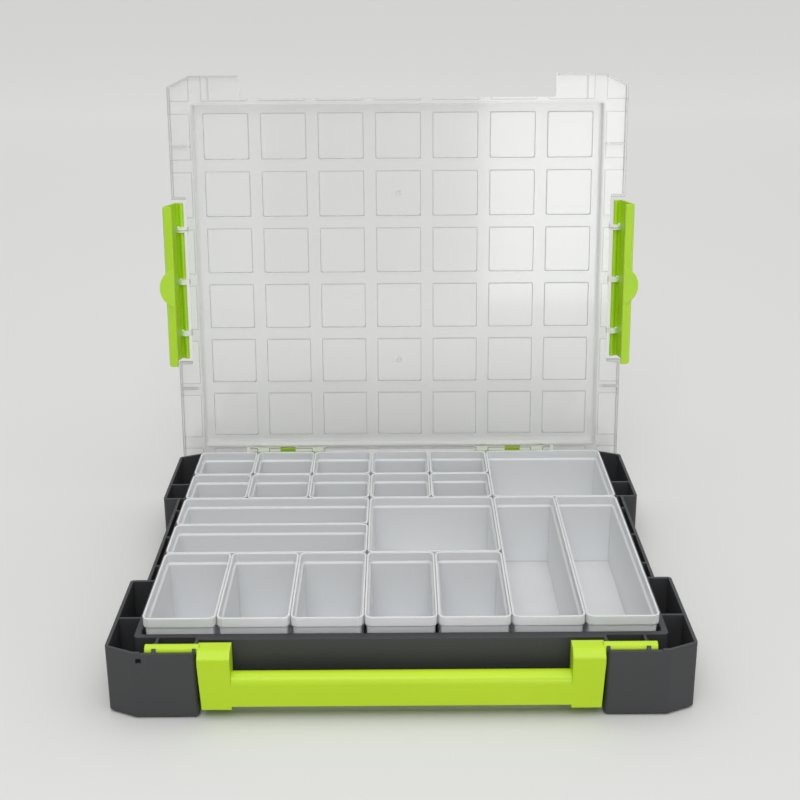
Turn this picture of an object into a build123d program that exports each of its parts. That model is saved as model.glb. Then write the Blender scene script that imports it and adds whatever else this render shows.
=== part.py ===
from build123d import *
from math import cos, radians, sin
import os

# Storage case for small parts: a tray with lift-out bins, a hinged clear lid,
# two side latches and a fold-out handle. X runs to the right, Y to the back
# and Z up, in millimetres. The origin is on the ground under the middle of
# the bins. Lid, clips and latches are drawn shut and then swung open.

# Bins, all on one square grid
pitch = 54.0
bin_gap = 0.4
bin_height = 63.0
bin_wall = 1.5
bin_floor = 1.6
band_depth = 7.2
band_step = 1.6
step_height = 1.5
bin_draft = 1.2
bin_corner = 4.8

# Each kind of bin with its span in columns and rows, and where its left
# column and rear row lie, counted from the rear left corner
bin_layout = [
    ("small_bin", 1, 1, [(column, row) for row in (0, 1) for column in range(5)]),
    ("square_bin", 2, 2, [(5, 0), (3, 2)]),
    ("wide_bin", 3, 1, [(0, 2), (0, 3)]),
    ("long_bin", 1, 4, [(5, 2), (6, 2)]),
    ("double_bin", 1, 2, [(column, 4) for column in range(5)]),
]
columns = max(column + across for _, across, _, cells in bin_layout for column, _ in cells)
rows = max(row + along for _, _, along, cells in bin_layout for _, row in cells)

# Base tray
field_gap = 1.0
tray_floor = 3.0
tray_height = 54.0
tray_wall = 2.5
rim_width = 4.4
side_reach = 23.0
end_reach = 27.0
corner_x = 21.0
corner_y = 10.0
recess_depth = 19.0
bay_depth = 13.0
bay_length = 157.0
side_centre = 1.2
front_block_x = 146.5
rear_block_x = 149.0
foot_chamfer = 2.5
upright_round = 3.0
rib_thick = 2.0
front_rib_y = -138.0
rear_rib_y = 113.0
channel_rib_pitch = 53.5
ledge_reach = 5.5
ledge_length = 130.0
ledge_thick = 1.6
hole_width = 4.0
hole_height = 4.5
hole_x = -187.4
hole_drop = 6.8
wall_dip = 1.0
horn_raise = 1.4
horn_length = 3.0
horn_foot = 2.6
horn_tip = 0.6

# Handle
axle_radius = 4.1
axle_gap = 0.1
axle_snap = 0.5
axle_inset = 7.5
axle_drop = 1.5
axle_length = 37.8
axle_rib_x = 176.5
leg_gap = 1.0
leg_width = 23.5
leg_back = 5.5
leg_front = 11.0
leg_top = 2.5
leg_facet = 5.5
leg_shoulder = 2.5
leg_round = 2.5
leg_bottom = 43.2
leg_core_drop = 8.0
leg_taper = 1.8
bar_bottom = 40.8
bar_top = 16.5
bar_step = 0.3
bar_back = 4.0
handle_wall = 2.4
bar_bays = 6

# Lid
pad_size = 41.4
pad_corner = 1.5
pad_raise = 1.5
pad_slope = 0.8
pad_dip = 1.0
lid_thick = 2.0
pan_wall = 1.6
pan_gap = 2.2
pan_corner = 4.0
rim_gap = 0.5
flange_raise = 4.0
flange_thick = 2.0
lid_overhang = 1.0
skirt_thick = 2.0
front_ear_x = 147.0
rear_ear_x = 152.0
mid_reach = 4.2
lid_rib = 1.6
lid_front_rib_y = -126.6
lid_rear_rib_y = 106.4
ear_rib_height = 0.8
lip_thick = 1.5
lip_drop = 0.4
lip_window = 15.0
latch_edge_reach = 8.2

# Latches
latch_length = 150.0
latch_rod = 2.2
latch_rod_reach = 5.0
latch_rod_drop = 1.0
latch_thick = 2.2
latch_height = 39.5
latch_round = 4.0
hook_reach = 9.5
hook_height = 3.0
latch_slope_x = 3.5
latch_slope_z = 5.0
tab_half = 18.3
tab_reach = 3.8
tab_tilt = 15.0
hook_pitch = 50.0
hook_width = 5.0
hook_thick = 1.8
hook_corner = 2.0
hook_gap = 0.12
window_gap = 0.6
latch_tilt = 8.0

# Hinge clips
clip_x = 110.8
clip_length = 75.0
clip_rod = 2.1
clip_rod_reach = 3.2
clip_rod_drop = 0.8
clip_thick = 2.2
clip_hook_spread = 57.6
barrel_radius = 3.3
hinge_inset = 4.0
hinge_z = 35.0
pin_radius = 2.0
pin_gap = 0.08
clip_end_gap = 0.5
lug_thick = 3.0
stop_gap = 0.5
open_angle = 95.57

# How far a cut or a joined solid runs past the face that it meets
spare = 1.0

# Places that follow from the sizes above
field_x = columns * pitch / 2
field_y = rows * pitch / 2
basin_x = field_x + field_gap
basin_y = field_y + field_gap
rim_x = basin_x + rim_width
rim_y = basin_y + rim_width
case_x = basin_x + side_reach
case_y = basin_y + end_reach
recess_y = case_y - recess_depth
bay_x = case_x - bay_depth
bay_front = side_centre - bay_length / 2
bay_rear = side_centre + bay_length / 2
bin_top = tray_floor + bin_height
axle_y = -case_y + axle_inset
axle_z = tray_height - axle_drop
leg_outer_x = front_block_x - leg_gap
hole_z = tray_height - hole_drop
pan_x = field_x + pan_gap + pan_wall
pan_y = field_y + pan_gap + pan_wall
pad_face = bin_top - pad_dip
plate_z = pad_face + pad_raise
flange_z = tray_height + flange_raise
lid_x = case_x + lid_overhang
lid_y = case_y + lid_overhang
skirt_z = tray_height + rim_gap
latch_edge_x = pan_x + latch_edge_reach
rod_x = latch_edge_x + latch_rod_reach
rod_z = flange_z - latch_rod_drop
latch_foot = rod_z - latch_height
hinge_y = case_y - hinge_inset
clip_rod_y = pan_y + clip_rod_reach
clip_rod_z = flange_z + clip_rod - clip_rod_drop
hinge_axis = Axis((0, hinge_y, hinge_z), (-1, 0, 0))


def rounded_plate(width, depth, corner, bottom, top):
    return extrude(Pos(0, 0, bottom) * RectangleRounded(width, depth, corner), top - bottom)


def block(x_range, y_range, z_range):
    """A box between two corners."""
    size = [high - low for low, high in (x_range, y_range, z_range)]
    middle = [(high + low) / 2 for low, high in (x_range, y_range, z_range)]
    return Pos(*middle) * Box(*size)


def faceted_ring(width, depth, corner, z, turns):
    """The corner points of a rectangle at height z, with flats instead of round corners."""
    ring = []
    for quarter, (x_side, y_side) in enumerate(((1, 1), (-1, 1), (-1, -1), (1, -1))):
        for turn in turns:
            angle = radians(90 * quarter + turn)
            x = x_side * (width / 2 - corner) + corner * cos(angle)
            y = y_side * (depth / 2 - corner) + corner * sin(angle)
            ring.append((x, y, z))
    return ring


def flat_sided(rings):
    """A solid of flat faces through rings with the same number of corners."""
    faces = [Face(Wire.make_polygon(rings[0])), Face(Wire.make_polygon(rings[-1]))]
    for low, high in zip(rings, rings[1:]):
        for index in range(len(low)):
            corners = [low[index - 1], low[index], high[index], high[index - 1]]
            faces.append(Face(Wire.make_polygon(corners)))
    return Solid(Shell(faces))


def both_sides(shape):
    return shape + mirror(shape, Plane.YZ)


def side_outline(points):
    """A closed outline from the points of its right half, front to back."""
    left = [(-x, y) for x, y in reversed(points)]
    return make_face(Polyline(*points, *left, close=True))


def along_x(sketch, start, stop):
    """Extrudes a profile drawn in Y and Z."""
    return extrude(Plane.YZ.offset(start) * sketch, stop - start)


def along_y(sketch, start, stop):
    """Extrudes a profile drawn in X and Z."""
    return extrude(Plane.XZ.offset(-stop) * sketch, stop - start)


# Bins
def bin_form(width, depth, inset, bottom):
    """The stepped, tapering form of a bin, shrunk by inset on each side."""
    shoulder = bin_height - band_depth
    levels = [
        (bottom, inset + band_step + bin_draft),
        (shoulder - step_height, inset + band_step),
        (shoulder, inset),
        (bin_height, inset),
    ]
    rings = []
    for z, shrink in levels:
        rings.append(faceted_ring(width - 2 * shrink, depth - 2 * shrink, bin_corner - shrink, z, (0, 45, 90)))
    return flat_sided(rings)


def make_bin(across, along):
    width = across * pitch - bin_gap
    depth = along * pitch - bin_gap
    return bin_form(width, depth, 0, 0) - bin_form(width, depth, bin_wall, bin_floor)


def place_bin(shape, across, along, column, row):
    x = (column + across / 2) * pitch - field_x
    y = field_y - (row + along / 2) * pitch
    return Pos(x, y, tray_floor) * shape


# Base tray
def tray_outline():
    return side_outline(
        [
            (front_block_x, -recess_y),
            (front_block_x, -case_y),
            (case_x - corner_x, -case_y),
            (case_x, -case_y + corner_y),
            (case_x, bay_front),
            (bay_x, bay_front),
            (bay_x, bay_rear),
            (case_x, bay_rear),
            (case_x, case_y - corner_y),
            (case_x - corner_x, case_y),
            (rear_block_x, case_y),
            (rear_block_x, recess_y),
        ]
    )


def tray_pockets():
    """Open pockets between the outer walls and the rim round the bins."""
    area = offset(tray_outline(), -tray_wall, kind=Kind.INTERSECTION)
    area -= RectangleRounded(2 * rim_x, 2 * rim_y, upright_round)
    front_bar = 2 * (front_block_x + tray_wall)
    rear_bar = 2 * (rear_block_x + tray_wall)
    area -= Pos(0, -case_y) * Rectangle(front_bar, 2 * end_reach)
    area -= Pos(0, case_y) * Rectangle(rear_bar, 2 * end_reach)
    rib_places = [front_rib_y, bay_front - tray_wall / 2, bay_rear + tray_wall / 2, rear_rib_y]
    rib_places += [side_centre + step * channel_rib_pitch for step in (-1, 0, 1)]
    for y in rib_places:
        area -= Pos(0, y) * Rectangle(2 * case_x, rib_thick)
    for x in (-axle_rib_x, axle_rib_x):
        area -= Pos(x, -case_y) * Rectangle(rib_thick, 2 * end_reach)
    return extrude(Pos(0, 0, tray_floor) * area, tray_height)


def axle_horns():
    """Horns on the inner wall and the rib of a front block, which an axle of the handle snaps between."""
    radius = axle_radius + axle_gap
    foot = tray_height - wall_dip - spare
    profile = make_face(
        Polyline(
            (axle_y - radius - horn_foot, foot),
            (axle_y - radius - horn_tip, tray_height + horn_raise),
            (axle_y + radius + horn_tip, tray_height + horn_raise),
            (axle_y + radius + horn_foot, foot),
            close=True,
        )
    )
    horns = along_x(profile, front_block_x, front_block_x + tray_wall)
    return horns + along_x(profile, axle_rib_x - horn_length / 2, axle_rib_x + horn_length / 2)


def axle_seat():
    """The cut that holds one axle of the handle, with a mouth narrower than the axle."""
    mouth = 2 * (axle_radius - axle_snap)
    seat = Pos(axle_y, axle_z) * Circle(axle_radius + axle_gap)
    seat += Pos(axle_y, axle_z + tray_height / 2) * Rectangle(mouth, tray_height)
    return along_x(seat, front_block_x - spare, axle_rib_x + horn_length)


def wall_notch():
    """The dip in the front wall that shows an axle of the handle."""
    return block(
        (front_block_x + tray_wall, leg_outer_x + axle_length + horn_length),
        (-case_y - spare, -case_y + tray_wall),
        (tray_height - wall_dip, tray_height + spare),
    )


def hinge_lug():
    """A cheek on the rear wall with the hole for one end of a clip."""
    nose = hinge_inset
    root = 2 * nose
    cheek = make_face(
        Polyline(
            (recess_y - tray_wall, hinge_z - root),
            (hinge_y, hinge_z - nose),
            (hinge_y, hinge_z + nose),
            (recess_y - tray_wall, hinge_z + root),
            close=True,
        )
    )
    cheek += Pos(hinge_y, hinge_z) * Circle(nose)
    end = clip_x - clip_length / 2 - clip_end_gap
    return along_x(cheek, end - lug_thick, end)


def latch_ledge():
    """The ledge that a latch hooks under, on the wall of its bay."""
    top = latch_foot + hook_height + rim_gap
    profile = make_face(
        Polyline(
            (bay_x - tray_wall / 2, top),
            (bay_x + ledge_reach, top),
            (bay_x + ledge_reach, top + ledge_thick),
            (bay_x - tray_wall / 2, top + ledge_thick + ledge_reach),
            close=True,
        )
    )
    return along_y(profile, side_centre - ledge_length / 2, side_centre + ledge_length / 2)


def on_outer_corner(point):
    return abs(point.X) > bay_x + spare or abs(point.Y) > recess_y + spare


def make_tray():
    tray = extrude(tray_outline(), tray_height)
    uprights = tray.edges().filter_by(Axis.Z)
    outer = [edge for edge in uprights if on_outer_corner(edge.center())]
    tray = fillet(outer, upright_round)
    tray = chamfer(tray.edges().group_by(Axis.Z)[0], foot_chamfer)
    tray -= rounded_plate(2 * basin_x, 2 * basin_y, upright_round, tray_floor, 2 * tray_height)
    tray -= tray_pockets()
    tray += both_sides(latch_ledge())
    tray += both_sides(hinge_lug())
    tray -= both_sides(wall_notch())
    tray += both_sides(axle_horns())
    tray -= both_sides(axle_seat())
    pin_hole = Pos(hinge_y, hinge_z) * Circle(pin_radius + pin_gap)
    tray -= both_sides(along_x(pin_hole, clip_x - clip_length, rear_block_x + tray_wall + spare))
    tray -= Pos(hole_x, -case_y, hole_z) * Box(hole_width, 2 * tray_wall, hole_height)
    return tray


# Handle
def leg_profile():
    """A leg seen from its side, with two soft breaks over its front edge."""
    front = axle_y - leg_front
    profile = make_face(
        Polyline(
            (axle_y + leg_back, axle_z + leg_top),
            (front + leg_facet, axle_z + leg_top),
            (front, axle_z - leg_shoulder),
            (front, axle_z - leg_bottom),
            (axle_y + leg_back, axle_z - leg_bottom),
            close=True,
        )
    )
    breaks = [corner for corner in profile.vertices() if corner.X < axle_y and corner.Y > axle_z - leg_top - spare]
    return fillet(breaks, leg_round)


def bar_profile():
    """The grip bar seen from its end: a round top over a flat band."""
    front = axle_y - leg_front
    back = axle_y + bar_back
    radius = (back - front) / 2 - bar_step
    middle = axle_z - bar_top - radius
    band = Pos((front + back) / 2, (middle + axle_z - bar_bottom) / 2)
    band *= Rectangle(back - front, middle - axle_z + bar_bottom)
    return band + Pos((front + back) / 2, middle) * Circle(radius)


def handle_cores():
    """The hollows in the back of the legs and of the bar, with ribs between them."""
    inner = leg_outer_x - leg_width
    depth = (axle_y - leg_front + handle_wall, axle_y + leg_back + spare)
    height = (axle_z - leg_bottom + handle_wall, axle_z - leg_core_drop)
    width = (inner + handle_wall, leg_outer_x - leg_taper - handle_wall)
    cores = both_sides(block(width, depth, height))
    bay = 2 * inner / bar_bays
    height = (axle_z - bar_bottom + handle_wall, axle_z - bar_top - 2 * handle_wall)
    for number in range(bar_bays):
        left = number * bay - inner
        cores += block((left + handle_wall / 2, left + bay - handle_wall / 2), depth, height)
    return cores


def leg_taper_cut():
    """What comes off the outer side of a leg, which narrows towards its lower end."""
    end = axle_z - leg_bottom - spare
    wedge = make_face(
        Polyline(
            (leg_outer_x, axle_z - leg_core_drop),
            (leg_outer_x + spare, axle_z - leg_core_drop),
            (leg_outer_x + spare, end),
            (leg_outer_x - leg_taper, end),
            close=True,
        )
    )
    return along_y(wedge, axle_y - leg_front - spare, axle_y + leg_back + spare)


def make_handle():
    inner = leg_outer_x - leg_width
    leg = along_x(leg_profile(), inner, leg_outer_x)
    axle = along_x(Pos(axle_y, axle_z) * Circle(axle_radius), leg_outer_x - spare, leg_outer_x + axle_length)
    handle = both_sides(leg + axle) + along_x(bar_profile(), -inner - spare, inner + spare)
    return handle - handle_cores() - both_sides(leg_taper_cut())


# Lid, drawn shut
def lid_outline():
    return side_outline(
        [
            (front_ear_x, -pan_y - mid_reach),
            (front_ear_x, -lid_y),
            (lid_x - corner_x, -lid_y),
            (lid_x, -lid_y + corner_y),
            (lid_x, bay_front),
            (latch_edge_x, bay_front),
            (latch_edge_x, bay_rear),
            (lid_x, bay_rear),
            (lid_x, lid_y - corner_y),
            (lid_x - corner_x, lid_y),
            (rear_ear_x, lid_y),
            (rear_ear_x, pan_y),
            (clip_x - clip_length / 2 - clip_end_gap, pan_y),
            (clip_x - clip_length / 2 - clip_end_gap, pan_y + mid_reach),
        ]
    )


def lid_skirt():
    """The lip that hangs from the outer edge of the flange."""
    area = lid_outline() - offset(lid_outline(), -skirt_thick, kind=Kind.INTERSECTION)
    area -= Rectangle(2 * latch_edge_x + spare, 2 * (pan_y + mid_reach) + spare)
    area -= Pos(0, -case_y) * Rectangle(2 * (front_ear_x + skirt_thick), 2 * end_reach)
    area -= Pos(0, case_y) * Rectangle(2 * (rear_ear_x + skirt_thick), 2 * end_reach)
    inner = rim_x + rim_gap
    outer = lid_x - skirt_thick / 2
    for y in (lid_front_rib_y, lid_rear_rib_y):
        for x in (-1, 1):
            area += Pos(x * (inner + outer) / 2, y) * Rectangle(outer - inner, lid_rib)
    return extrude(Pos(0, 0, skirt_z) * area, flange_z - skirt_z)


def open_ring(radius, start_angle):
    """A snap hook round a rod of the given radius, open over a quarter turn."""
    inside = radius + hook_gap
    outside = inside + hook_thick
    gap = make_face(Polyline((0, 0), (2 * outside, 0), (0, 2 * outside), close=True))
    body = chamfer(Rectangle(2 * outside, 2 * outside).vertices(), hook_corner)
    return body - Circle(inside) - Rot(0, 0, start_angle) * gap


def latch_hooks():
    ring = Pos(rod_x, rod_z) * open_ring(latch_rod, 0)
    web_width = rod_x - latch_rod - hook_gap - latch_edge_x + spare
    ring += Pos(latch_edge_x - spare + web_width / 2, flange_z) * Rectangle(web_width, 2 * flange_thick)
    hooks = Part()
    for step in (-1, 0, 1):
        middle = side_centre + step * hook_pitch
        hooks += along_y(ring, middle - hook_width / 2, middle + hook_width / 2)
    return both_sides(hooks)


def clip_hooks():
    ring = Pos(clip_rod_y, clip_rod_z) * open_ring(clip_rod, 0)
    hooks = Part()
    for middle in (clip_x - clip_hook_spread / 2, clip_x + clip_hook_spread / 2):
        hooks += along_x(ring, middle - hook_width / 2, middle + hook_width / 2)
    return both_sides(hooks)


def lid_pads():
    """One raised pad over the middle of each grid cell."""
    foot = pad_size + 2 * pad_slope
    levels = [(pad_face, pad_size), (plate_z, foot), (plate_z + lid_thick / 2, foot)]
    rings = [faceted_ring(size, size, pad_corner, z, (0, 90)) for z, size in levels]
    return GridLocations(pitch, pitch, columns, rows) * flat_sided(rings)


def hinge_lips():
    """Lips below the rods of the clips, each with a window in its middle."""
    top = clip_rod_z - clip_rod - lip_drop
    lips = Part()
    for side in (-1, 1):
        ends = sorted((clip_x + side * lip_window / 2, clip_x + side * clip_length / 2))
        lips += block(ends, (pan_y - pan_wall / 2, clip_rod_y + clip_rod), (top - lip_thick, top))
    return both_sides(lips)


def make_lid():
    lid = rounded_plate(2 * pan_x, 2 * pan_y, pan_corner, skirt_z, plate_z + lid_thick)
    lid += extrude(Pos(0, 0, flange_z) * lid_outline(), flange_thick)
    lid += lid_skirt()
    inner_x = pan_x - pan_wall
    inner_y = pan_y - pan_wall
    lid -= rounded_plate(2 * inner_x, 2 * inner_y, pan_corner - pan_wall, 0, plate_z)
    lid += lid_pads()
    lid += latch_hooks()
    lid += clip_hooks()
    lid += hinge_lips()
    ear_rib = block(
        (axle_rib_x - lid_rib / 2, axle_rib_x + lid_rib / 2),
        (-lid_y + skirt_thick, -pan_y),
        (flange_z - ear_rib_height, flange_z),
    )
    rear_rib = block(
        (-lid_rib / 2, lid_rib / 2),
        (pan_y, pan_y + mid_reach),
        (flange_z - ear_rib_height, flange_z),
    )
    return lid + both_sides(ear_rib) + rear_rib


# Latch on the right, drawn shut
def make_latch():
    outer = rod_x + hook_reach - latch_thick
    top = rod_z + latch_thick
    inner = outer - latch_thick
    tip = outer - hook_reach
    start = side_centre - latch_length / 2
    stop = side_centre + latch_length / 2
    shell = make_face(
        [
            Polyline(
                (outer, top - latch_round),
                (outer, latch_foot + latch_slope_z),
                (outer - latch_slope_x, latch_foot),
                (tip, latch_foot),
                (tip, latch_foot + hook_height),
                (inner, latch_foot + hook_height),
                (inner, rod_z),
                (rod_x, rod_z),
                (rod_x, top),
                (outer - latch_round, top),
            ),
            RadiusArc((outer - latch_round, top), (outer, top - latch_round), latch_round),
        ]
    )
    latch = along_y(shell, start, stop)
    half_window = hook_width / 2 + window_gap
    for step in (-1, 0, 1):
        middle = side_centre + step * hook_pitch
        latch -= block((tip, inner), (middle - half_window, middle + half_window), (rod_z - spare, top + spare))
    latch += along_y(Pos(rod_x, rod_z) * Circle(latch_rod), start, stop)
    tab = make_face(
        [
            ThreePointArc((tip, -tab_half), (outer + tab_reach, 0), (tip, tab_half)),
            Line((tip, tab_half), (tip, -tab_half)),
        ]
    )
    tab = extrude(Pos(0, side_centre, latch_foot) * tab, latch_thick)
    return latch + tab.rotate(Axis((tip, side_centre, latch_foot), (0, 1, 0)), tab_tilt)


# Hinge clip on the right, drawn shut
def make_clip():
    start = clip_x - clip_length / 2
    stop = clip_x + clip_length / 2
    under = clip_rod_z - clip_thick / 2
    over = clip_rod_z + clip_thick / 2
    leg_in = hinge_y - clip_thick / 2
    leg_out = hinge_y + clip_thick / 2
    arm = make_face(
        Polyline(
            (clip_rod_y, under),
            (leg_in, under),
            (leg_in, hinge_z),
            (leg_out, hinge_z),
            (leg_out, over - clip_thick),
            (leg_out - clip_thick, over),
            (clip_rod_y, over),
            close=True,
        )
    )
    clip = along_x(arm, start, stop)
    half_window = hook_width / 2 + window_gap
    window_y = clip_rod_y + clip_rod + hook_gap + hook_thick + window_gap
    for middle in (clip_x - clip_hook_spread / 2, clip_x + clip_hook_spread / 2):
        clip -= block(
            (middle - half_window, middle + half_window),
            (clip_rod_y - clip_rod, window_y),
            (under - spare, over + spare),
        )
    clip += along_x(Pos(clip_rod_y, clip_rod_z) * Circle(clip_rod), start, stop)
    clip += along_x(Pos(hinge_y, hinge_z) * Circle(barrel_radius), start, stop)
    heel = hinge_y - recess_y - stop_gap
    clip += block((start + upright_round, stop - upright_round), (leg_in, leg_out), (hinge_z - heel, hinge_z))
    pin_ends = clip_length / 2 + clip_end_gap + tray_wall
    clip += along_x(Pos(hinge_y, hinge_z) * Circle(pin_radius), clip_x - pin_ends, clip_x + pin_ends)
    return clip


def swing_open(shape):
    return shape.rotate(hinge_axis, open_angle)


def main():
    os.makedirs("parts", exist_ok=True)
    shapes = {
        "base_tray": make_tray(),
        "carry_handle": make_handle(),
        "lid": swing_open(make_lid()),
    }
    latch = make_latch().rotate(Axis((rod_x, 0, rod_z), (0, -1, 0)), latch_tilt)
    shapes["latch_right"] = swing_open(latch)
    shapes["latch_left"] = swing_open(mirror(latch, Plane.YZ))
    clip = make_clip()
    shapes["hinge_clip_right"] = swing_open(clip)
    shapes["hinge_clip_left"] = swing_open(mirror(clip, Plane.YZ))
    for name, across, along, cells in bin_layout:
        shape = make_bin(across, along)
        for number, (column, row) in enumerate(cells, 1):
            shapes[f"{name}_{number}"] = place_bin(shape, across, along, column, row)
    for name, shape in shapes.items():
        export_step(shape, f"parts/{name}.step")


main()
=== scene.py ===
import bpy
from math import cos, radians, sin
from mathutils import Matrix, Vector


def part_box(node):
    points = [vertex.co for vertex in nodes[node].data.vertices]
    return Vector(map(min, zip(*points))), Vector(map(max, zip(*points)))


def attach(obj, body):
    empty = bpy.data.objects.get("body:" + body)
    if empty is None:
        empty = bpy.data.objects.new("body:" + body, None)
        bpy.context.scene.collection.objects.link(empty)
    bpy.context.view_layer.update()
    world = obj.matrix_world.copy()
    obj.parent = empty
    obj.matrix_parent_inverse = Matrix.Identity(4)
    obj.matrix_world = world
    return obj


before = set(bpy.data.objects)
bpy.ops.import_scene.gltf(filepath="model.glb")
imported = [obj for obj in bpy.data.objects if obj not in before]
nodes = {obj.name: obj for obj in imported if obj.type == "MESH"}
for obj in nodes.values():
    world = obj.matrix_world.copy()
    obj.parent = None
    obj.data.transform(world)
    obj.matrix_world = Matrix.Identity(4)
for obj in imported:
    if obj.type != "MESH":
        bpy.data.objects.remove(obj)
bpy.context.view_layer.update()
bins = [name for name in nodes if "_bin_" in name]

# Camera: where the photograph was taken from, in metres and degrees
camera_place = Vector((0.0005, -1.0317, 0.5457))
camera_pitch = 19.725
camera_yaw = 0.013
camera_roll = -0.382
camera_lens = 60.72

# Studio
table_lit = (0.72, 0.72, 0.71)
table_near = (0.68, 0.68, 0.67)
table_far = (0.95, 0.95, 0.94)
table_fade = 3.0
table_size = 60.0
tent_seen = 0.66
tent_level = 0.42
tent_slope = (0.18, 0.0, 0.40)

# Windows that show in glossy faces: how far off and how high they are, and the middles of the lid's halves
window_y = -2.2
window_z = 0.34
lid_left = (-0.15, 0.23, 0.25)
lid_right = (0.15, 0.23, 0.25)
window_sizes = ((0.62, 0.84), (0.50, 0.70), (0.38, 0.56), (0.26, 0.42))
window_power = 6.0

# Lid, with its grid, hooks and edges measured on it shut, and how far it leans open at rest
grid_pitch = 0.054
pad_size = 0.0414
pad_slope = 0.0008
lid_axis = Vector((0, 0.186, 0.035))
lid_lean = 95.57
hook_pitch = 0.050
hook_half = 0.0028
hook_row_middle = 0.0012
hook_row_half = 0.060
latch_edge_x = 0.2011
clip_side_y = 0.1663
clip_x = 0.1108
clip_half = 0.0385
clip_top_z = 0.0635
flange_under = 0.0578
rim_outer_x = 0.1975
rim_outer_y = 0.1680

# Haze of the clear plastic: the share of a matt skin over it, less on the pads and more elsewhere; on the
# slopes round the pads and on the skirt the skin is grey, painted shade for the dark lines at those edges
haze_plain = 0.18
haze_pads = 0.04
haze_slopes_painted_shade = 0.08
haze_slant = 0.38
haze_slant_power = 1.5
haze_hooks = 0.80
haze_skirt_painted_shade = 0.12

# Bins
bin_top = max(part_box(name)[1][2] for name in bins)
floor_top = 0.0056

# Gate marks that the moulding leaves on two pads in the middle of the lid
gate_rows = (-0.081, 0.081)
gate_radius = 0.0030
gate_height = 0.0007
gate_rim = 0.4 * gate_radius
gate_dent = 0.6 * gate_height
gate_edge = 0.3 * gate_height
pad_face = 0.065


# Shader helpers
class Tone:
    """A number that varies over a surface."""

    def __init__(self, finish, socket):
        self.finish = finish
        self.socket = socket

    def __add__(self, other):
        return self.finish.reckon("ADD", self, other)

    def __sub__(self, other):
        return self.finish.reckon("SUBTRACT", self, other)

    def __rsub__(self, other):
        return self.finish.reckon("SUBTRACT", other, self)

    def __mul__(self, other):
        return self.finish.reckon("MULTIPLY", self, other)

    def __truediv__(self, other):
        return self.finish.reckon("DIVIDE", self, other)

    def __pow__(self, other):
        return self.finish.reckon("POWER", self, other)

    def __lt__(self, other):
        return self.finish.reckon("LESS_THAN", self, other)

    def __gt__(self, other):
        return self.finish.reckon("GREATER_THAN", self, other)

    def __abs__(self):
        return self.finish.reckon("ABSOLUTE", self)

    __radd__ = __add__
    __rmul__ = __mul__


class Finish:
    """A material, with the constant sockets of its main shader set by name."""

    def __init__(self, name, **constants):
        self.material = bpy.data.materials.new(name)
        self.material.use_nodes = True
        self.shader = self.material.node_tree.nodes["Principled BSDF"]
        for socket, value in constants.items():
            self.shader.inputs[socket.replace("_", " ")].default_value = value

    def node(self, kind, settings=None, values=None, output=0):
        made = self.material.node_tree.nodes.new(kind)
        for key, value in (settings or {}).items():
            setattr(made, key, value)
        for key, value in (values or {}).items():
            self.feed(made.inputs[key], value)
        return Tone(self, made.outputs[output])

    def feed(self, socket, value):
        if isinstance(value, Tone):
            self.material.node_tree.links.new(value.socket, socket)
        else:
            socket.default_value = value

    def reckon(self, operation, *numbers):
        return self.node("ShaderNodeMath", {"operation": operation}, dict(enumerate(numbers)))

    def place(self):
        return self.node("ShaderNodeTexCoord", output="Object")

    def noise(self, scale, detail=2.0):
        values = {"Vector": self.place(), "Scale": scale, "Detail": detail}
        return self.node("ShaderNodeTexNoise", values=values)

    def blend(self, factor, dark, light):
        """A colour between two colours."""
        settings = {"data_type": "RGBA"}
        ends = [end if isinstance(end, Tone) else (*end, 1) for end in (dark, light)]
        return self.node("ShaderNodeMix", settings, {"Factor": factor, 6: ends[0], 7: ends[1]}, output=2)

    def colour(self, value):
        self.feed(self.shader.inputs["Base Color"], value)

    def roughness(self, value):
        self.feed(self.shader.inputs["Roughness"], value)

    def alpha(self, value):
        self.feed(self.shader.inputs["Alpha"], value)

    def soft_edge(self, radius):
        """The normal of the surface with its sharp edges rounded off."""
        return self.node("ShaderNodeBevel", {"samples": 6}, {"Radius": radius})

    def bump(self, height, distance, strength, edge):
        """A fine relief on a surface whose sharp edges look rounded off."""
        values = {"Height": height, "Distance": distance, "Strength": strength}
        values["Normal"] = self.soft_edge(edge)
        self.feed(self.shader.inputs["Normal"], self.node("ShaderNodeBump", values=values))

    def over(self, factor, colour, roughness):
        """Mixes a matt skin over the main shader."""
        skin = self.material.node_tree.nodes.new("ShaderNodeBsdfPrincipled")
        self.feed(skin.inputs["Base Color"], colour)
        skin.inputs["Roughness"].default_value = roughness
        blend = self.node("ShaderNodeMixShader", values={"Fac": factor})
        mixer = blend.socket.node
        links = self.material.node_tree.links
        links.new(self.shader.outputs[0], mixer.inputs[1])
        links.new(skin.outputs[0], mixer.inputs[2])
        links.new(mixer.outputs[0], self.material.node_tree.nodes["Material Output"].inputs["Surface"])


# Finishes
def charcoal_plastic():
    finish = Finish("charcoal_plastic", Specular_IOR_Level=0.4)
    cloud = finish.noise(9.0, 3.0)
    grain = finish.noise(2200.0, 2.0)
    finish.colour(finish.blend(cloud, (0.039, 0.040, 0.043), (0.053, 0.054, 0.057)))
    finish.roughness(0.40 + 0.14 * cloud)
    finish.bump(grain, 0.00006, 0.5, edge=0.0008)
    return finish.material


def lime_plastic():
    finish = Finish("lime_plastic", Specular_IOR_Level=0.35)
    cloud = finish.noise(14.0, 2.0)
    grain = finish.noise(1500.0, 2.0)
    finish.colour(finish.blend(cloud, (0.46, 0.68, 0.012), (0.52, 0.74, 0.018)))
    finish.roughness(0.28 + 0.1 * cloud)
    finish.bump(grain, 0.00003, 0.4, edge=0.0012)
    return finish.material


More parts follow.
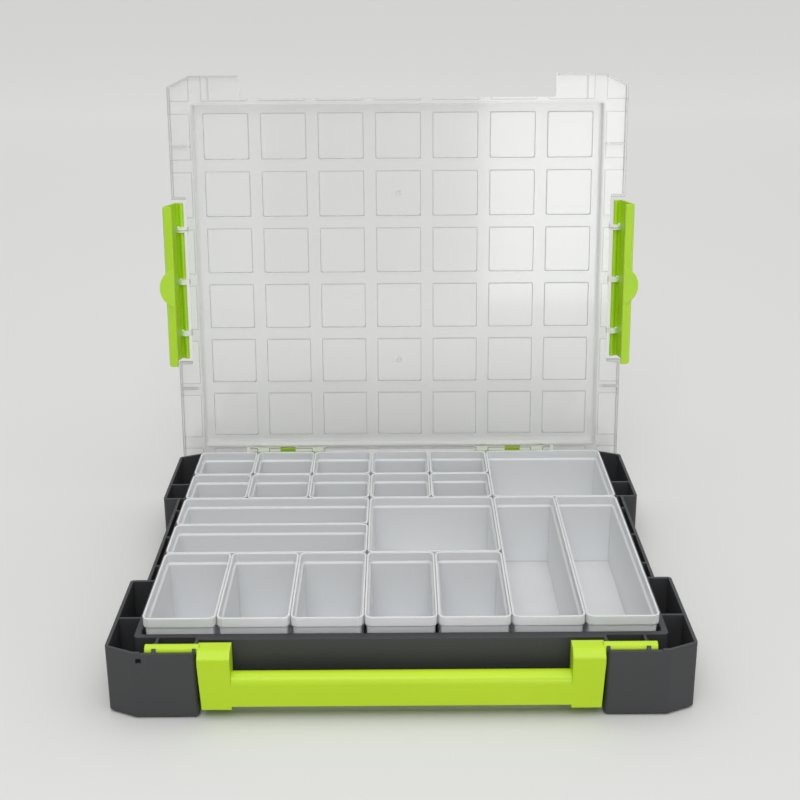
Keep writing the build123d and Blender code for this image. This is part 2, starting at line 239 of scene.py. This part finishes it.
def clip_plastic():
    """The paler lime of the hinge clips under the lid."""
    finish = Finish("clip_plastic", Specular_IOR_Level=0.6)
    cloud = finish.noise(30.0, 2.0)
    finish.colour(finish.blend(cloud, (0.43, 0.60, 0.06), (0.49, 0.66, 0.09)))
    finish.roughness(0.22 + 0.1 * cloud)
    finish.bump(finish.noise(1500.0, 2.0), 0.00003, 0.4, edge=0.0008)
    return finish.material


def milky_plastic():
    finish = Finish(
        "milky_plastic", IOR=1.45, Subsurface_Weight=1.0, Subsurface_Radius=(1, 1, 1), Subsurface_Scale=0.0015
    )
    cloud = finish.noise(20.0, 2.0)
    ripple = finish.noise(90.0, 2.0)
    height = finish.node("ShaderNodeSeparateXYZ", values={"Vector": finish.place()}, output=2)
    # Painted light: the colour is lighter deep down and greyer towards the rim, with a darker floor, to
    # flatten the shading inside the bins
    milk_painted_by_depth = finish.blend(height / bin_top + 0.1 * cloud, (0.90, 0.91, 0.92), (0.75, 0.76, 0.77))
    finish.colour(finish.blend(height < floor_top, milk_painted_by_depth, (0.77, 0.78, 0.785)))
    finish.roughness(0.34 + 0.14 * cloud)
    finish.alpha(0.86 + 0.06 * cloud)
    finish.bump(ripple, 0.0002, 0.3, edge=0.0007)
    return finish.material


class LidPlace:
    """Where a point lies on the shut lid, whatever way the lid stands open at rest."""

    def __init__(self, finish):
        turn = {"Vector": finish.place(), "Center": lid_axis, "Axis": (1, 0, 0), "Angle": radians(lid_lean)}
        flat = finish.node("ShaderNodeVectorRotate", {"rotation_type": "AXIS_ANGLE"}, turn)
        self.finish = finish
        self.x, self.y, self.z = [
            finish.node("ShaderNodeSeparateXYZ", values={"Vector": flat}, output=axis) for axis in range(3)
        ]

    def near_repeat(self, along, spacing):
        """The distance to the nearest of evenly spaced middles."""
        return self.finish.reckon("PINGPONG", along, spacing / 2)

    def pads(self, size):
        """1 on squares of the given size in the middle of each grid cell."""
        across = self.near_repeat(self.x, grid_pitch) < size / 2
        along = self.near_repeat(self.y - grid_pitch / 2, grid_pitch) < size / 2
        return across * along

    def hooks(self):
        """1 on the hooks that hold the latches and on what holds the clips."""
        beside = self.near_repeat(self.y - hook_row_middle, hook_pitch) < hook_half
        beside = beside * (abs(self.y - hook_row_middle) < hook_row_half) * (abs(self.x) > latch_edge_x)
        behind = (abs(abs(self.x) - clip_x) < clip_half) * (self.y > clip_side_y) * (self.z < clip_top_z)
        return beside + behind

    def skirt(self):
        """1 on the lip round the outer edge of the flange."""
        outside = (abs(self.x) > rim_outer_x) + (abs(self.y) > rim_outer_y) > 0.5
        return outside * (self.z < flange_under)


def latch_plastic():
    """The greener and more see-through lime of the latches."""
    finish = Finish(
        "latch_plastic",
        Specular_IOR_Level=0.5,
        Subsurface_Weight=0.7,
        Subsurface_Radius=(0.45, 1, 0.08),
        Subsurface_Scale=0.0008,
    )
    cloud = finish.noise(30.0, 2.0)
    finish.colour(finish.blend(cloud, (0.44, 0.72, 0.012), (0.50, 0.78, 0.016)))
    finish.roughness(0.26 + 0.1 * cloud)
    finish.bump(finish.noise(1500.0, 2.0), 0.00003, 0.4, edge=0.0008)
    return finish.material


def clear_plastic():
    finish = Finish("clear_plastic", IOR=1.49, Transmission_Weight=1.0, Coat_Weight=1.0, Coat_Roughness=0.22)
    lid = LidPlace(finish)
    cloud = finish.noise(30.0, 3.0)
    slant = finish.node("ShaderNodeLayerWeight", values={"Blend": 0.5}, output=1)
    pads = lid.pads(pad_size)
    slopes = lid.pads(pad_size + 2 * pad_slope) - pads
    hooks = lid.hooks()
    skirt = lid.skirt() * (1 - hooks)
    finish.colour((0.97, 0.975, 0.97, 1))
    finish.roughness(0.04 + 0.05 * cloud)
    haze = haze_plain - haze_pads * pads + haze_slopes_painted_shade * slopes + haze_slant * slant ** haze_slant_power
    haze = haze + haze_hooks * hooks + haze_skirt_painted_shade * skirt
    # Painted shade: the skin is grey on the skirt and on the slopes round the pads, for the dark lines these
    # edges show
    finish.over(haze, finish.blend(skirt + slopes, (0.96, 0.97, 0.95), (0.40, 0.40, 0.40)), 0.4)
    return finish.material


def table_paper():
    """White paper that shows one tone to the camera and lights the object with another."""
    finish = Finish("table_paper", Roughness=0.9, Specular_IOR_Level=0.1)
    direct = finish.node("ShaderNodeLightPath", output="Is Camera Ray")
    glossy = finish.node("ShaderNodeLightPath", output="Is Glossy Ray")
    through = finish.node("ShaderNodeLightPath", output="Is Transmission Ray")
    far = finish.node("ShaderNodeSeparateXYZ", values={"Vector": finish.place()}, output=1)
    far = finish.node("ShaderNodeMapRange", values={"Value": far, "From Max": table_fade})
    seen = finish.blend(far, table_near, table_far)
    finish.colour(finish.blend(direct + glossy + through, table_lit, seen))
    return finish.material


def dress(names, material):
    for name in names:
        for slot in nodes[name].material_slots:
            slot.material = material


def build_gate_mark(row):
    """A small disc with a dimple on the inside of the lid, with its place in its mesh."""
    bpy.ops.object.select_all(action="DESELECT")
    turn = Matrix.Rotation(radians(-lid_lean), 4, "X")
    spot = lid_axis + turn @ (Vector((0, row, pad_face)) - lid_axis)
    bpy.ops.mesh.primitive_cylinder_add(vertices=32, radius=gate_radius, depth=2 * gate_height, location=spot)
    mark = bpy.context.object
    mark.name = "gate_mark"
    mark.rotation_euler = turn.to_euler()
    bpy.ops.object.transform_apply(location=True, rotation=True)
    facing = (turn @ Vector((0, 0, -1))).to_3d()
    bpy.ops.object.mode_set(mode="EDIT")
    bpy.ops.mesh.select_mode(type="FACE")
    bpy.ops.mesh.select_all(action="DESELECT")
    bpy.ops.object.mode_set(mode="OBJECT")
    for face in mark.data.polygons:
        face.select = face.normal.dot(facing) > 0.9
    bpy.ops.object.mode_set(mode="EDIT")
    bpy.ops.mesh.inset(thickness=gate_rim)
    bpy.ops.transform.translate(value=-gate_dent * facing)
    bpy.ops.object.mode_set(mode="OBJECT")
    edges = mark.modifiers.new("edges", "BEVEL")
    edges.width = gate_edge
    edges.segments = 2
    bpy.ops.object.modifier_apply(modifier="edges")
    bpy.ops.object.shade_smooth_by_angle(angle=radians(40))
    mark.data.materials.append(bpy.data.materials["clear_plastic"])
    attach(mark, "lid")


def build_stage():
    """A table top that runs on past the top of the main picture."""
    bpy.ops.object.select_all(action="DESELECT")
    bpy.ops.mesh.primitive_plane_add(size=table_size)
    table = bpy.context.object
    table.name = "table_top"
    table.data.materials.append(table_paper())


def softbox(name, place, aim, size, power, gloss_only=False):
    """A soft lamp that the camera itself doesn't see, and that may show in glossy faces alone."""
    lamp = bpy.data.lights.new(name, "AREA")
    lamp.shape = "RECTANGLE"
    lamp.size, lamp.size_y = size
    lamp.energy = power
    holder = bpy.data.objects.new(name, lamp)
    bpy.context.scene.collection.objects.link(holder)
    holder.location = place
    holder.rotation_euler = (Vector(aim) - Vector(place)).to_track_quat("-Z", "Y").to_euler()
    holder.visible_camera = False
    holder.visible_diffuse = not gloss_only


def build_light():
    """A pale tent that is brightest overhead and on the right, with lamps above and in front."""
    world = bpy.data.worlds.new("tent")
    world.use_nodes = True
    nodes_in = world.node_tree.nodes
    links = world.node_tree.links
    spot = nodes_in.new("ShaderNodeTexCoord")
    rise = nodes_in.new("ShaderNodeVectorMath")
    rise.operation = "DOT_PRODUCT"
    rise.inputs[1].default_value = tent_slope
    level = nodes_in.new("ShaderNodeMath")
    level.inputs[1].default_value = tent_level
    links.new(spot.outputs["Generated"], rise.inputs[0])
    links.new(rise.outputs["Value"], level.inputs[0])
    seen = nodes_in.new("ShaderNodeMix")
    seen.inputs["B"].default_value = tent_seen
    links.new(nodes_in.new("ShaderNodeLightPath").outputs["Is Camera Ray"], seen.inputs["Factor"])
    links.new(level.outputs[0], seen.inputs["A"])
    links.new(seen.outputs["Result"], nodes_in["Background"].inputs["Strength"])
    nodes_in["Background"].inputs["Color"].default_value = (1, 1, 1, 1)
    bpy.context.scene.world = world
    softbox("top_softbox", (0, -0.2, 2.4), (0, 0, 0), (2.4, 2.4), 15)
    softbox("front_softbox", (-0.1, -1.7, 2.0), (0, 0, 0), (1.2, 1.0), 18)
    softbox("left_softbox", (-0.50, window_y, window_z), lid_left, (0.26, 0.80), 0.35, gloss_only=True)
    for width, height in window_sizes:
        power = window_power * width * height
        window_place = (0.54, window_y, window_z)
        softbox("right_softbox", window_place, lid_right, (width, height), power, gloss_only=True)


def build_camera():
    pitch = radians(camera_pitch)
    turn = Matrix.Rotation(radians(camera_yaw), 3, "Z")
    forward = turn @ Vector((0, cos(pitch), -sin(pitch)))
    level_up = turn @ Vector((0, sin(pitch), cos(pitch)))
    level_right = turn @ Vector((1, 0, 0))
    roll = radians(camera_roll)
    right = cos(roll) * level_right + sin(roll) * level_up
    up = -sin(roll) * level_right + cos(roll) * level_up
    camera = bpy.data.objects.new("camera", bpy.data.cameras.new("camera"))
    camera.data.lens = camera_lens
    camera.data.sensor_width = 36
    camera.data.clip_end = 50
    bpy.context.scene.collection.objects.link(camera)
    turned = Matrix((right, up, -forward)).transposed().to_4x4()
    camera.matrix_world = Matrix.Translation(camera_place) @ turned
    bpy.context.scene.camera = camera


dress(["base_tray"], charcoal_plastic())
dress(["lid"], clear_plastic())
dress(bins, milky_plastic())
dress(["carry_handle"], lime_plastic())
dress(["latch_left", "latch_right"], latch_plastic())
dress(["hinge_clip_left", "hinge_clip_right"], clip_plastic())
for row in gate_rows:
    build_gate_mark(row)
build_stage()
build_light()
build_camera()
bpy.context.scene.view_settings.view_transform = "Standard"

# Light passes many milky walls before it is used up
bpy.context.scene.cycles.max_bounces = 24
bpy.context.scene.cycles.diffuse_bounces = 16
bpy.context.scene.cycles.transparent_max_bounces = 24
